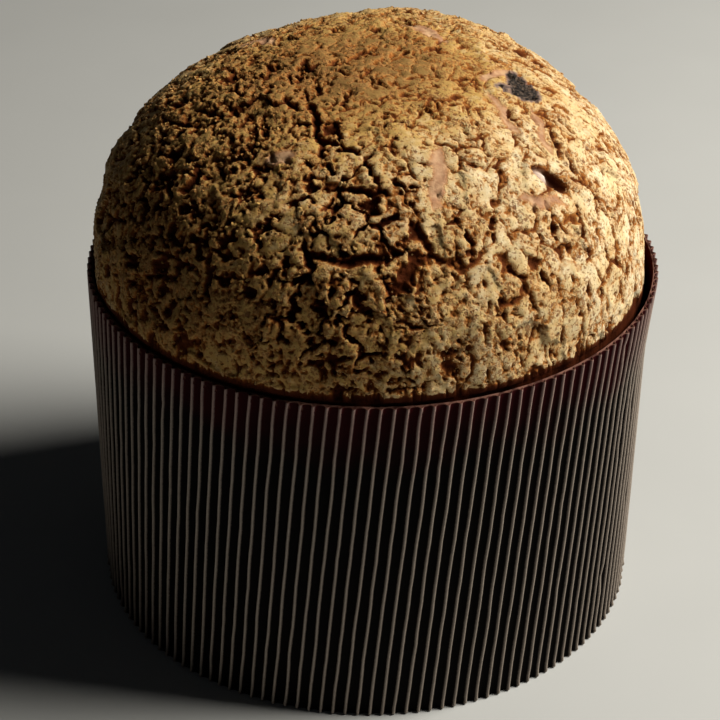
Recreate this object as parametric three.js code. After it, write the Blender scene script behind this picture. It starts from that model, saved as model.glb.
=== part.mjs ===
// A tall panettone in its fluted paper baking case.
// Millimetres, +Z up, origin at the centre of the base, the photographed front towards -Y.

import * as THREE from "three";
import { ConvexHull } from "three/addons/math/ConvexHull.js";

// The paper case: a straight tall cup of corrugated paper with a smooth lining
const CASE_HEIGHT = 110;
const RIM_RADIUS = 85.6; // over the flute crests at the rim
const FOOT_RADIUS = 84.6; // over the flute crests at the foot
const FLUTE_COUNT = 144;
const FLUTE_DEPTH = 1.3;
const LINING = 0.5; // paper left under the flute valleys
const FLOOR_PAPER = 0.9;
const FLUTE_LEAN = THREE.MathUtils.degToRad(-6.3); // the flutes lean from rim to foot
const FLARE = 2; // the rim opens this far where the loaf has pulled away
const FLARE_BEARING = THREE.MathUtils.degToRad(92);
const FLARE_REACH = THREE.MathUtils.degToRad(42);
const FLARE_FROM = 88; // height at which the opening starts
const FLUTE_SHAPE = [
  // across the flute's width, and out from valley to crest
  [-0.36, 0],
  [-0.13, 1],
  [0.13, 1],
  [0.36, 0],
];
const BASE_PANEL_SIDES = 9;
const BASE_PANEL_RADIUS = 28;

// The loaf: a domed top over the case, a plain body inside it
const DOME_CENTRE = 113.2; // height of the dome's widest line
const DOME_RADIUS = 85.5;
const DOME_RISE = 65;
const DOME_SQUARENESS = 2.35; // 2 would be an ellipse, more is boxier
const TUCK_HEIGHT = 110.7; // the loaf turns in here, just over the paper rim
const TUCK_RADIUS = 83.1;
const SLIP = 0.45; // clear space between loaf and paper
const BODY_TOP = 98;

// Where the baked dome departs from the regular form: bearing, elevation, height
const LOBES = [
  [90, 0, -0.8], // the right side has shrunk from the paper
  [-90, 0, -0.7], // and the left a little
  [111, 29, -2.4], // flat shoulders
  [-111, 29, -1.5],
  [-146, 52, -1.7],
  [154, 54, 2.7], // the crown leans back and to the right
];
const LOBE_SPREAD = 0.12;

// The crust, broken into plates with cracks between them
const PLATE_COUNT = 392;
const LOWEST_PLATE = THREE.MathUtils.degToRad(2.5);
const SKIRT_COUNT = 58; // hidden places below the dome that close the lowest plates
const SKIRT_ELEVATION = THREE.MathUtils.degToRad(-4.5);
const PLATE_SCATTER = 0.055; // how far a plate strays from even spacing, in radians
const CRACK_HALF_WIDTH = 1.15;
const WIDEST_INSET = 0.42; // a crack takes no more than this share of a plate
const PLATE_CROWN = 0.5; // the middle of a plate stands over its edge
const PLATE_STEP = 1.5; // the most that one plate lies under its neighbour
const PLAIN_CRACK = 1.2; // crack depth where the crust is calm
const CRACK_UNEVENNESS = 0.5; // share by which a crack is deeper or shallower along its length

// Where the cracks gape: bearing, elevation, spread, extra depth
const FISSURES = [
  [-6, 38, 0.05, 2.3], // the torn middle of the front
  [-12, 16, 0.03, 1.6], // its lower end
  [-45, 66, 0.03, 1.5], // the split towards the crown
  [-62, 32, 0.06, 0.9], // the crumbly left shoulder
  [150, 40, 0.05, 1.6], // the back
  [-150, 30, 0.05, 1.2],
];

const CRUST = new THREE.MeshStandardMaterial({ color: 0xb98f56, roughness: 0.85, metalness: 0 });
const PAPER = new THREE.MeshStandardMaterial({ color: 0x3a2a22, roughness: 0.55, metalness: 0 });

// Bearings run from the front (-Y) towards the right (+X)
function heading(bearing, elevation) {
  const level = Math.cos(elevation);
  return new THREE.Vector3(level * Math.sin(bearing), -level * Math.cos(bearing), Math.sin(elevation));
}

function place(bearing, radius, height) {
  return new THREE.Vector3(radius * Math.sin(bearing), -radius * Math.cos(bearing), height);
}

// A repeatable number from 0 to 1 for a whole number and a stream
function chance(index, stream) {
  let mix = Math.imul(index + 1, 0x9e3779b1) ^ Math.imul(stream + 1, 0x85ebca6b);
  mix = Math.imul(mix ^ (mix >>> 15), 0x2c1b3c6d);
  mix = Math.imul(mix ^ (mix >>> 12), 0x297a2d39);
  return ((mix ^ (mix >>> 15)) >>> 0) / 4294967296;
}

// How much a place in this direction belongs to a patch round a bearing and an elevation
function nearness(direction, bearing, elevation, spread) {
  const middle = heading(THREE.MathUtils.degToRad(bearing), THREE.MathUtils.degToRad(elevation));
  return Math.exp(-(1 - direction.dot(middle)) / spread);
}

// A closed mesh collected point by point, each triangle anticlockwise from outside
class Skin {
  constructor() {
    this.points = [];
    this.faces = [];
  }

  point(position) {
    this.points.push(position);
    return this.points.length - 1;
  }

  ring(positions) {
    return positions.map((position) => this.point(position));
  }

  face(a, b, c) {
    this.faces.push([a, b, c]);
  }

  // Joins two rings with the same number of points; upper lies ahead when seen from outside
  band(lower, upper) {
    lower.forEach((low, i) => {
      const next = (i + 1) % lower.length;
      this.face(low, lower[next], upper[next]);
      this.face(low, upper[next], upper[i]);
    });
  }

  // Joins a fine ring to a coarse one inside it; each coarse point serves several fine ones
  fan(fine, coarse, facingUp) {
    const share = fine.length / coarse.length;
    const turn = (a, b, c) => (facingUp ? this.face(a, b, c) : this.face(a, c, b));
    coarse.forEach((hub, j) => {
      for (let k = 0; k < share; k += 1) {
        const i = j * share + k;
        turn(hub, fine[i], fine[(i + 1) % fine.length]);
      }
      turn(hub, fine[((j + 1) * share) % fine.length], coarse[(j + 1) % coarse.length]);
    });
  }

  // Closes a ring with a flat panel
  panel(ring, facingUp) {
    for (let i = 1; i < ring.length - 1; i += 1) {
      if (facingUp) this.face(ring[0], ring[i], ring[i + 1]);
      else this.face(ring[0], ring[i + 1], ring[i]);
    }
  }

  mesh(name, material) {
    const geometry = new THREE.BufferGeometry();
    const places = this.points.flatMap((p) => [p.x, p.y, p.z]);
    geometry.setAttribute("position", new THREE.Float32BufferAttribute(places, 3));
    geometry.setIndex(this.faces.flat());
    geometry.computeVertexNormals();
    const mesh = new THREE.Mesh(geometry, material);
    mesh.name = name;
    return mesh;
  }
}

// The paper case

// How far the paper stands off its straight cup at a height
function flare(bearing, height) {
  const rise = THREE.MathUtils.clamp((height - FLARE_FROM) / (CASE_HEIGHT - FLARE_FROM), 0, 1);
  const away = Math.abs(Math.atan2(Math.sin(bearing - FLARE_BEARING), Math.cos(bearing - FLARE_BEARING)));
  return FLARE * rise * Math.exp(-((away / FLARE_REACH) ** 2));
}

function crestRadius(height) {
  return THREE.MathUtils.lerp(FOOT_RADIUS, RIM_RADIUS, height / CASE_HEIGHT);
}

function liningRadius(bearing, height) {
  return crestRadius(height) - FLUTE_DEPTH - LINING + flare(bearing, height);
}

function fluteBearing(flute, across, height) {
  const lean = FLUTE_LEAN * (1 - height / CASE_HEIGHT);
  return ((flute + across) / FLUTE_COUNT) * 2 * Math.PI + lean;
}

function flutedRing(height) {
  const corners = [];
  for (let flute = 0; flute < FLUTE_COUNT; flute += 1) {
    for (const [across, out] of FLUTE_SHAPE) {
      const bearing = fluteBearing(flute, across, height);
      const radius = liningRadius(bearing, height) + LINING + FLUTE_DEPTH * out;
      corners.push(place(bearing, radius, height));
    }
  }
  return corners;
}

function liningRing(height, level) {
  const corners = [];
  for (let flute = 0; flute < FLUTE_COUNT; flute += 1) {
    const bearing = fluteBearing(flute, 0, height);
    corners.push(place(bearing, liningRadius(bearing, height), level));
  }
  return corners;
}

function paperCase() {
  const skin = new Skin();
  const outer = [0, FLARE_FROM, CASE_HEIGHT].map((height) => skin.ring(flutedRing(height)));
  const lining = [FLOOR_PAPER, FLARE_FROM, CASE_HEIGHT].map((height) => skin.ring(liningRing(height, height)));
  for (let i = 0; i + 1 < outer.length; i += 1) {
    skin.band(outer[i], outer[i + 1]);
    skin.band(lining[i + 1], lining[i]);
  }
  skin.fan(outer.at(-1), lining.at(-1), true);
  skin.panel(lining[0], true);

  // The underside: flute ends, then a flat panel with no corner at its middle
  const hem = skin.ring(liningRing(0, 0));
  const panel = [];
  for (let side = 0; side < BASE_PANEL_SIDES; side += 1) {
    const bearing = (side / BASE_PANEL_SIDES) * 2 * Math.PI + FLUTE_LEAN;
    panel.push(skin.point(place(bearing, BASE_PANEL_RADIUS, 0)));
  }
  skin.fan(outer[0], hem, false);
  skin.fan(hem, panel, false);
  skin.panel(panel, false);
  return skin.mesh("paper_case", PAPER);
}

// The loaf

function domeRadius(direction) {
  const level = Math.hypot(direction.x, direction.y) / DOME_RADIUS;
  const rise = Math.abs(direction.z) / DOME_RISE;
  let radius = (level ** DOME_SQUARENESS + rise ** DOME_SQUARENESS) ** (-1 / DOME_SQUARENESS);
  for (const [bearing, elevation, height] of LOBES) {
    radius += height * nearness(direction, bearing, elevation, LOBE_SPREAD);
  }
  return radius;
}

// The place on the dome in a direction from its centre, sunk below the surface
function onDome(direction, sunk) {
  const position = direction.clone().multiplyScalar(domeRadius(direction) - sunk);
  position.z += DOME_CENTRE;
  return position;
}

function crackDepth(direction) {
  let depth = PLAIN_CRACK;
  for (const [bearing, elevation, spread, extra] of FISSURES) {
    depth += extra * nearness(direction, bearing, elevation, spread);
  }
  return depth;
}

// The middles of the crust's plates, evenly spread on a spiral and then scattered
function plateMiddles() {
  const golden = Math.PI * (3 - Math.sqrt(5));
  const span = 1 - Math.sin(LOWEST_PLATE);
  const middles = [];
  for (let i = 0; i < PLATE_COUNT; i += 1) {
    const elevation = Math.asin(1 - ((i + 0.5) / PLATE_COUNT) * span);
    const middle = heading(i * golden, elevation);
    middle.x += PLATE_SCATTER * (2 * chance(i, 0) - 1);
    middle.y += PLATE_SCATTER * (2 * chance(i, 1) - 1);
    middle.z += PLATE_SCATTER * chance(i, 2);
    middles.push(middle.normalize());
  }
  for (let i = 0; i < SKIRT_COUNT; i += 1) {
    middles.push(heading((i / SKIRT_COUNT) * 2 * Math.PI, SKIRT_ELEVATION));
  }
  return middles;
}

// The corners round each plate, in order: the cells nearest to each middle on the sphere
function plateOutlines(middles) {
  const hull = new ConvexHull().setFromPoints(middles);
  const outlines = new Map(middles.map((middle) => [middle, []]));
  for (const face of hull.faces) {
    const corner = { direction: face.normal.clone().normalize() };
    let edge = face.edge;
    do {
      outlines.get(edge.head().point).push(corner);
      edge = edge.next;
    } while (edge !== face.edge);
  }
  for (const [middle, corners] of outlines) {
    const east = new THREE.Vector3(-middle.y, middle.x, 0).normalize();
    const north = new THREE.Vector3().crossVectors(middle, east);
    const angle = ({ direction }) => Math.atan2(direction.dot(north), direction.dot(east));
    corners.sort((a, b) => angle(a) - angle(b));
  }
  return outlines;
}

function tuckPoint(direction) {
  return place(Math.atan2(direction.x, -direction.y), TUCK_RADIUS, TUCK_HEIGHT);
}

function loaf() {
  const skin = new Skin();
  const middles = plateMiddles();
  const outlines = plateOutlines(middles);
  const plates = middles.slice(0, PLATE_COUNT);

  // Corners shared with the skirt lie on the tuck line over the paper rim
  const tucked = new Set(middles.slice(PLATE_COUNT).flatMap((middle) => outlines.get(middle)));
  const cornerPoint = (corner) => {
    if (corner.index === undefined) {
      const { direction } = corner;
      const uneven = 1 + CRACK_UNEVENNESS * (2 * chance(skin.points.length, 4) - 1);
      const sunk = PLATE_CROWN + crackDepth(direction) * uneven;
      corner.index = skin.point(tucked.has(corner) ? tuckPoint(direction) : onDome(direction, sunk));
    }
    return corner.index;
  };

  plates.forEach((middle, i) => {
    const corners = outlines.get(middle);
    const sunk = PLATE_STEP * chance(i, 3) ** 2;
    const crack = corners.map(cornerPoint);
    const edge = corners.map(({ direction }) => {
      const reach = DOME_RADIUS * direction.distanceTo(middle);
      const inset = Math.min(WIDEST_INSET, CRACK_HALF_WIDTH / reach);
      return skin.point(onDome(direction.clone().lerp(middle, inset).normalize(), sunk + PLATE_CROWN));
    });
    const crown = skin.point(onDome(middle, sunk));
    corners.forEach((_, k) => {
      const next = (k + 1) % corners.length;
      skin.face(crown, edge[k], edge[next]);
      skin.face(edge[k], crack[k], crack[next]);
      skin.face(edge[k], crack[next], edge[next]);
    });
  });

  // The body inside the case, under the tuck line
  const rim = [...tucked].filter((corner) => corner.index !== undefined);
  const bearing = ({ direction }) => Math.atan2(direction.x, -direction.y);
  rim.sort((a, b) => bearing(a) - bearing(b));
  const bodyRing = (height, radius) => skin.ring(rim.map((corner) => place(bearing(corner), radius, height)));
  const floor = FLOOR_PAPER + SLIP;
  const top = bodyRing(BODY_TOP, liningRadius(-FLARE_BEARING, BODY_TOP) - SLIP);
  const bottom = bodyRing(floor, liningRadius(-FLARE_BEARING, floor) - SLIP);
  skin.band(top, rim.map((corner) => corner.index));
  skin.band(bottom, top);
  skin.panel(bottom, false);
  return skin.mesh("loaf", CRUST);
}

const panettone = new THREE.Group();
panettone.add(paperCase(), loaf());

export default panettone;
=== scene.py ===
"""A tall panettone with a cracked glazed crust, standing in its fluted paper case.

Forms are worked out in millimetres, in the model's frame: +Z up, the photographed front towards -Y.
Bearings run from the front towards +X.
"""

import math

import bpy
import numpy as np
from mathutils import Matrix, Vector


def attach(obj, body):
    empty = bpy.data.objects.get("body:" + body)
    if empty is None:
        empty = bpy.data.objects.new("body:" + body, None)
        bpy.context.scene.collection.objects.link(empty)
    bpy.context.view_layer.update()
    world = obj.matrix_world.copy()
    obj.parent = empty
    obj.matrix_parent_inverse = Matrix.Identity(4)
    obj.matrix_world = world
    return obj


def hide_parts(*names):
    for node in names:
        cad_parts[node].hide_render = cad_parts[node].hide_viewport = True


MM = 0.001

# The camera, fitted to the photograph's 720 x 720 frame
CAMERA_PLACE = (0, -600.5, 450.1)
CAMERA_AIM = (-2.59, 0, 72.18)
CAMERA_ROLL = 0.0111
LENS = 113.35
SENSOR = 36

# The paper case, as in the model
CASE_HEIGHT = 110
RIM_RADIUS = 85.6
FOOT_RADIUS = 84.6
FLUTE_COUNT = 144
FLUTE_DEPTH = 1.3
LINING = 0.5
FLOOR_PAPER = 0.9
FLUTE_LEAN = math.radians(-6.3)
FLARE = 2
FLARE_BEARING = math.radians(92)
FLARE_REACH = math.radians(42)
FLARE_FROM = 88

# The finer parts of the paper
FLUTE_PLACES = np.array([-0.45, -0.3, -0.2, -0.13, -0.07, 0, 0.07, 0.13, 0.2, 0.3])  # points across a flute
RIDGE_WIDTH = 0.15  # half the width of a flute's ridge, as a share of the pitch
RIDGE_SQUARENESS = 3.0
RIDGE_WANDER = 0.06  # how far the ridges stray sideways, as a share of the pitch
SHEET = 0.25  # thickness of the fluted sheet at the open ends
POCKET = 2.5  # how deep the open flute ends show at the rim
RAGGED = 0.12  # unevenness of the cut top edge
SEAM_BEARING = math.radians(168)
SEAM_WIDTH = 0.16  # in radians
SEAM_DEPTH = 0.45
FOOT_BULGE = 0.35  # the flutes stand out this far just over the foot
FOOT_BULGE_HEIGHT = 0.9
FOOT_ROUNDING = 0.5  # and are drawn in this far under it
FOOT_ROUNDING_HEIGHT = 0.7
LOW_RINGS = [0, 0.25, 0.6, 1.1, 1.8, 2.8]  # heights of the rings of points on the fluted face
MIDDLE_RINGS = np.linspace(5, 84, 16)
HIGH_RINGS = [*np.linspace(89, 108.6, 7), 109.5]
LINING_RINGS = [109.2, 104, 96, FLARE_FROM, 40, FLOOR_PAPER]  # and on the lining, from the rim down
WALL_MAP_HEIGHT = 0.88  # share of the case's map that its walls take
DISC_MAP_PLACES = (0.06, 0.94), (0.18, 0.94)  # its floor and base on the map
DISC_MAP_RADIUS = 0.05

# The loaf, as in the model
DOME_CENTRE = 113.2
DOME_RADIUS = 85.5
DOME_RISE = 65
DOME_SQUARENESS = 2.35
TUCK_HEIGHT = 110.7
TUCK_RADIUS = 83.1
SLIP = 0.45
BODY_TOP = 98
LOBES = [(90, 0, -0.8), (-90, 0, -0.7), (111, 29, -2.4), (-111, 29, -1.5), (-146, 52, -1.7), (154, 54, 2.7)]
LOBE_SPREAD = 0.12
PLATE_COUNT = 392
LOWEST_PLATE = math.radians(2.5)
SKIRT_COUNT = 58
SKIRT_ELEVATION = math.radians(-4.5)
PLATE_SCATTER = 0.055
PLATE_STEP = 1.5
PLAIN_CRACK = 1.2
FISSURES = [
    (-6, 38, 0.05, 2.3),
    (-12, 16, 0.03, 1.6),
    (-45, 66, 0.03, 1.5),
    (-62, 32, 0.06, 0.9),
    (150, 40, 0.05, 1.6),
    (-150, 30, 0.05, 1.2),
]

# Where the glaze is crumbly, as patches: bearing, elevation, spread, strength
CRUMBLE_PLAIN = 0.32
CRUMBLE = [
    (-75, 45, 0.16, 0.38),
    (-50, 20, 0.10, 0.4),
    (-5, 33, 0.06, 0.08),
    (-2, 8, 0.05, 0.38),
    (160, 35, 0.2, 0.35),
    (60, 30, 0.16, -0.32),
    (20, 62, 0.08, -0.1),
]
# Toasted patches: bearing, elevation, spread, strength; the one low on the front left is painted shade
TOAST_AND_PAINTED_SHADE_PATCHES = [
    (-20, 80, 0.16, 1.3),
    (-75, 40, 0.3, 0.7),
    (-10, 5, 0.1, 0.6),
    (-48, 10, 0.1, 1.0),
    (5, 14, 0.1, 0.4),
    (35, 8, 0.08, 0.35),
    (80, 60, 0.05, 0.35),
    (170, 40, 0.4, 0.6),
]
CHARRED = [
    (83, 53, 0.0014, 1.0),
    (75, 52, 0.0014, 1.0),
    (88, 54, 0.0008, 0.8),
    (79, 50, 0.0009, 0.8),
    (72, 57, 0.0010, 0.5),
]
BLISTER = (50, 35)

# Furrows where the crust tore as it rose: bearing and elevation of each bend, and half the width
FURROWS = [
    ([(-44, 66), (-30, 61), (-20, 54), (-13, 46), (-8, 42)], 1.3),
    ([(-11, 41), (0, 40), (9, 39)], 1.4),
    ([(-16, 28), (-6, 26), (3, 27), (10, 29)], 1.4),
    ([(-33, 13), (-34, 20), (-38, 27)], 1.4),
    ([(-15, 20), (-12, 24), (-7, 22)], 1.1),
    ([(-9, 40), (-12, 34), (-13, 28)], 0.7),
    ([(11, 38), (11, 34), (9, 30)], 0.7),
    ([(6, 26), (5, 20), (9, 16)], 0.8),
    ([(-43, 43), (-35, 42), (-29, 41)], 0.9),
    ([(-86, 36), (-72, 40), (-62, 44)], 1.1),
    ([(62, 37), (60, 34), (57, 30)], 0.9),
    ([(51, 43), (51, 40), (50, 37)], 0.8),
    ([(45, 29), (44, 26), (43, 23)], 0.8),
    ([(53, 28), (52, 25), (51, 21), (50, 17)], 1.0),
    ([(61, 53), (58, 50), (56, 47)], 1.1),
    ([(70, 45), (67, 43), (63, 40), (58, 37)], 0.9),
    ([(22, 30), (22, 27), (21, 24)], 0.8),
    ([(28, 24), (31, 21), (34, 19)], 0.7),
    ([(38, 23), (37, 19), (38, 15)], 0.8),
    ([(42, 53), (39, 49), (35, 46)], 0.8),
    ([(30, 32), (28, 29), (28, 26)], 0.8),
    ([(64, 29), (61, 25), (61, 22)], 0.7),
    ([(150, 30), (140, 42), (120, 50)], 1.3),
    ([(-140, 20), (-132, 34), (-150, 44)], 1.3),
]

# Strips of smooth bare skin between the plates, in the same way
BARE_STRIPS = [
    ([(23, 49), (20, 45), (18, 40), (16, 36)], 1.8),
    ([(38, 34), (42, 32), (48, 31), (51, 29)], 1.3),
    ([(61, 57), (58, 53), (54, 49), (53, 46)], 1.5),
    ([(70, 49), (65, 45), (60, 42), (58, 39)], 1.3),
    ([(-31, 43), (-27, 45), (-23, 46)], 2.0),
    ([(162, 70), (139, 70), (118, 69)], 2.0),
    ([(68, 62), (84, 59), (92, 55)], 1.5),
    ([(-118, 48), (-126, 53), (-122, 60)], 1.7),
    ([(-160, 26), (-166, 33), (-160, 38)], 1.5),
]

# The fine crust's mesh
RINGS = 380  # rings from the crown to the widest line
RING_SECTORS = 5  # points that each ring has over the one inside it
CRUST_FACES = 194000  # faces left once flat parts are thinned out
MAP_NAME = "OFBake"  # each piece's own flat map
TUCK_TURNS = np.radians([15, 32, 50, 70, 90])  # steps of the edge's turn into the case
TUCK_REACH = [1, 2, 3, 4, 5, 10, 14, 18]  # places of the tucked edge and hidden body on the map, in rings
# The tucked edge and hidden body take the crack colours at this depth: painted shade under the rim
TUCK_LOW = 2.4  # how dark the tucked edge is, as a depth
LOAF_MAP_RADIUS = 0.49  # the crust and body on the map, around its middle
BASE_MAP_PLACE = 0.07  # and the base, in a corner
BASE_MAP_RADIUS = 0.05

# Sizes and depths of the fine crust's forms
SIDE_STRETCH = np.array([1, 1, 0.66])  # the pattern is drawn out as it falls to the sides
LONG_STRETCH = np.array([1, 1, 0.4])  # and its long cracks more so
PUFF_SIZE = 4
FRAY_SIZE = 2.3
SMALL_CELL = 5.4
LONG_CELL = 7.5
LONG_CRACK = 1.4
BROAD_ISLE = 9
TINY_ISLE = 3.6
GASH_SIZE = 2.8
GASH_DEPTH = 1.5
FURROW_DEPTH = 2.9
BARE_DEPTH = 0.7
PORE_CELL = 2.6
PIT_SIZE = 1.9
PORE_DEPTH = 0.9
BLISTER_TILT = math.radians(-60)
BLISTER_LENGTH = 7.2
BLISTER_WIDTH = 2.7
BLISTER_DEPTH = 3.4
SKIN_RISE = 2.5  # height of the pale skin over the blister's floor
SKIN_PLACE = (-2.2, -0.5)  # its middle, along and across the hole
SKIN_SPREAD = (7, 3)  # in square mm
SKIN_MARGIN = 0.7  # it fades out this close to the hole's edge
SWELL = 1.1  # mean depth of the crust under the regular dome, for its broad unevenness
# The cracks are painted darker with depth as shade, down to near black at this depth
DEEPEST = 2.6  # depth at which the cracks are darkest

GRANULE_COUNT = 4200
GRANULE_SIZES = (0.25, 0.7)

# Screen colours of the crust, out of 255
CREAMS = (232, 222, 192), (224, 204, 162)
TAN = (220, 190, 138)
HONEY = (214, 181, 120)
# Toast browns, also used as painted shade low on the front left
TOAST_AND_SHADE_BROWN = (188, 150, 82)
DARK_TOAST_AND_SHADE_BROWN = (132, 98, 50)
GLAZE_RIM = (188, 132, 70)
# Pores: dough brown with painted shade for their depth
PORE_BROWN_AND_SHADE = (108, 58, 24)
SPECK_BROWN = (136, 86, 42)
# Red-brown dough in the cracks, painted darker towards near black with depth as shade
CRACK_COLOURS_WITH_PAINTED_SHADE = [
    (0.0, (198, 142, 80)),
    (0.16, (154, 96, 45)),
    (0.36, (102, 53, 23)),
    (0.6, (78, 36, 14)),
    (1.0, (64, 26, 10)),
]
BARE_SKIN = (206, 168, 130), (176, 134, 104)
# The blister's pale skin, painted near white: its own pale colour with a painted highlight
PALE_SKIN_AND_HIGHLIGHT = (232, 214, 200)
ASH = (128, 104, 94)
BURNT = (24, 17, 13), (92, 76, 64)

# Screen colours of the paper, from painted shade in the valleys to a painted highlight on the ridges, and of
# its inside and top edge
PAPER_SHADE_TO_RIDGE_HIGHLIGHT = [(0.0, (6, 4, 3)), (0.5, (11, 7, 6)), (0.72, (112, 100, 90)), (1.0, (156, 143, 131))]
STAINED_SHADE_TO_RIDGE_HIGHLIGHT = [(0.0, (44, 6, 9)), (0.5, (54, 9, 12)), (0.74, (118, 90, 86)), (1.0, (150, 122, 114))]
PAPER_INSIDE = (78, 22, 12), (116, 44, 26)
PAPER_EDGE = (66, 40, 34), (124, 88, 76)
STAIN_HEIGHTS = (0.086, 0.108)  # in metres: the red stain comes in between these

# The stage
FLOOR_SIZE = 2500
FLOOR_GREYS = (184, 185, 184), (190, 191, 190)
LIT_HEIGHT = 100  # the lamps look at this height on the axis
WORLD_TINT = (0.78, 0.84, 0.9, 1)
WORLD_STRENGTH = 0.01


def heading(bearing, elevation):
    """Unit directions for bearings and elevations in radians."""
    level = np.cos(elevation)
    return np.stack(
        [level * np.sin(bearing), -level * np.cos(bearing), np.sin(elevation) * np.ones_like(bearing)], -1
    )


def facing(bearing, elevation):
    """One unit direction for a bearing and an elevation in degrees."""
    return heading(math.radians(bearing), math.radians(elevation))


def chance(index, stream):
    """Repeatable numbers from 0 to 1 for whole numbers and a stream, the same as the model's."""
    full = np.uint64(0xFFFFFFFF)
    step = ((stream + 1) * 0x85EBCA6B) & 0xFFFFFFFF
    mix = ((np.asarray(index).astype(np.uint64) + np.uint64(1)) * np.uint64(0x9E3779B1)) & full
    mix = mix ^ np.uint64(step)
    mix = ((mix ^ (mix >> np.uint64(15))) * np.uint64(0x2C1B3C6D)) & full
    mix = ((mix ^ (mix >> np.uint64(12))) * np.uint64(0x297A2D39)) & full
    return (mix ^ (mix >> np.uint64(15))).astype(np.float64) / 4294967296


def corner_draws(corner, stream):
    """Four repeatable numbers from 0 to 1 for each whole-number corner of a lattice in space."""
    whole = corner.astype(np.uint32)
    mix = whole[:, 0] * np.uint32(73856093) ^ whole[:, 1] * np.uint32(19349663)
    mix ^= whole[:, 2] * np.uint32(83492791)
    mix ^= np.uint32((stream + 1) * 0x85EBCA6B & 0xFFFFFFFF)
    for shift, factor in ((15, 0x2C1B3C6D), (12, 0x297A2D39), (15, 0x9E3779B1)):
        mix ^= mix >> np.uint32(shift)
        mix *= np.uint32(factor)
    mix ^= mix >> np.uint32(16)
    byte = np.uint32(255)
    return np.stack([(mix >> np.uint32(8 * k)) & byte for k in range(4)], -1) / 255


def ease(value):
    """From 0 to 1 with soft ends."""
    value = np.clip(value, 0, 1)
    return value * value * (3 - 2 * value)


def lattice(points, size):
    """The whole-number corner under each point, and the point's place in its cube."""
    place = points / size + 1000
    corner = np.floor(place)
    return corner.astype(np.int64), place - corner


CUBE = [np.array([dx, dy, dz]) for dx in (0, 1) for dy in (0, 1) for dz in (0, 1)]
NEIGHBOURS = [np.array([dx, dy, dz]) for dx in (-1, 0, 1) for dy in (-1, 0, 1) for dz in (-1, 0, 1)]


def noise(points, size, stream):
    """Smooth noise from about -1 to 1 in space, with features of a size."""
    corner, inside = lattice(points, size)
    share = ease(inside)
    total = np.zeros(len(points))
    for step in CUBE:
        weight = np.prod(np.abs(1 - step - share), axis=1)
        slope = 2 * corner_draws(corner + step, stream)[:, :3] - 1
        total += weight * np.sum(slope * (inside - step), axis=1)
    return 1.7 * total


def drift(points, size, stream):
    """Smooth noise from -1 to 1 along each axis, to shift points by."""
    corner, inside = lattice(points, size)
    share = ease(inside)
    total = np.zeros((len(points), 3))
    for step in CUBE:
        weight = np.prod(np.abs(1 - step - share), axis=1)
        total += weight[:, None] * (2 * corner_draws(corner + step, stream)[:, :3] - 1)
    return total


def layered_noise(points, size, stream, layers=3, gain=0.55):
    """Noise with finer and weaker noise on it."""
    total = np.zeros(len(points))
    for layer in range(layers):
        total += noise(points, size / 2**layer, stream + layer) * gain**layer
    return total / math.sqrt(sum(gain ** (2 * layer) for layer in range(layers)))


def billow(points, size, stream, layers=3, gain=0.6):
    """Rounded puffs with sharp creases between them, about 0 on average and least in the creases."""
    total = np.zeros(len(points))
    for layer in range(layers):
        total += (np.abs(noise(points, size / 1.9**layer, stream + layer)) - 0.25) * gain**layer
    return total


def cells(points, size, stream):
    """Scattered cells in space: distances to the nearest edge and middle in mm, and a draw for the cell."""
    corner, inside = lattice(points, size)
    nearest = np.full(len(points), 9.0)
    second = np.full(len(points), 9.0)
    middle = np.zeros((len(points), 3))
    other = np.zeros((len(points), 3))
    number = np.zeros(len(points))
    for step in NEIGHBOURS:
        draws = corner_draws(corner + step, stream)
        spot = step + draws[:, :3] - inside
        far = np.linalg.norm(spot, axis=1)
        first = far < nearest
        between = ~first & (far < second)
        second = np.where(first, nearest, np.where(between, far, second))
        other = np.where(first[:, None], middle, np.where(between[:, None], spot, other))
        nearest = np.where(first, far, nearest)
        middle = np.where(first[:, None], spot, middle)
        number = np.where(first, draws[:, 3], number)
    apart = np.maximum(np.linalg.norm(middle - other, axis=1), 1e-6)
    edge = (second**2 - nearest**2) / (2 * apart)
    return edge * size, nearest * size, number


def patches(directions, spots, plain=0.0):
    """How much each direction belongs to a list of patches: bearing, elevation, spread, strength."""
    total = np.full(len(directions), float(plain))
    for bearing, elevation, spread, strength in spots:
        total += strength * np.exp(-(1 - directions @ facing(bearing, elevation)) / spread)
    return total


def line_field(points, lines):
    """The distance in mm from each point of the sphere to the edge of the nearest line, less than 0 in it."""
    field = np.full(len(points), 99.0)
    for bends, half_width in lines:
        corners = [facing(*bend) * DOME_RADIUS for bend in bends]
        for k, (start, end) in enumerate(zip(corners, corners[1:])):
            along = end - start
            share = np.clip((points - start) @ along / (along @ along), 0, 1)
            far = np.linalg.norm(points - start - share[:, None] * along, axis=1)
            route = (k + share) / (len(corners) - 1)
            field = np.minimum(field, far - half_width * np.sqrt(np.clip(4 * route * (1 - route), 0.02, 1)))
    return field


def dome_radius(directions):
    """The regular dome with its lobes, from its centre."""
    level = np.hypot(directions[:, 0], directions[:, 1]) / DOME_RADIUS
    rise = np.abs(directions[:, 2]) / DOME_RISE
    radius = (level**DOME_SQUARENESS + rise**DOME_SQUARENESS) ** (-1 / DOME_SQUARENESS)
    for bearing, elevation, height in LOBES:
        radius += height * np.exp(-(1 - directions @ facing(bearing, elevation)) / LOBE_SPREAD)
    return radius


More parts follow.
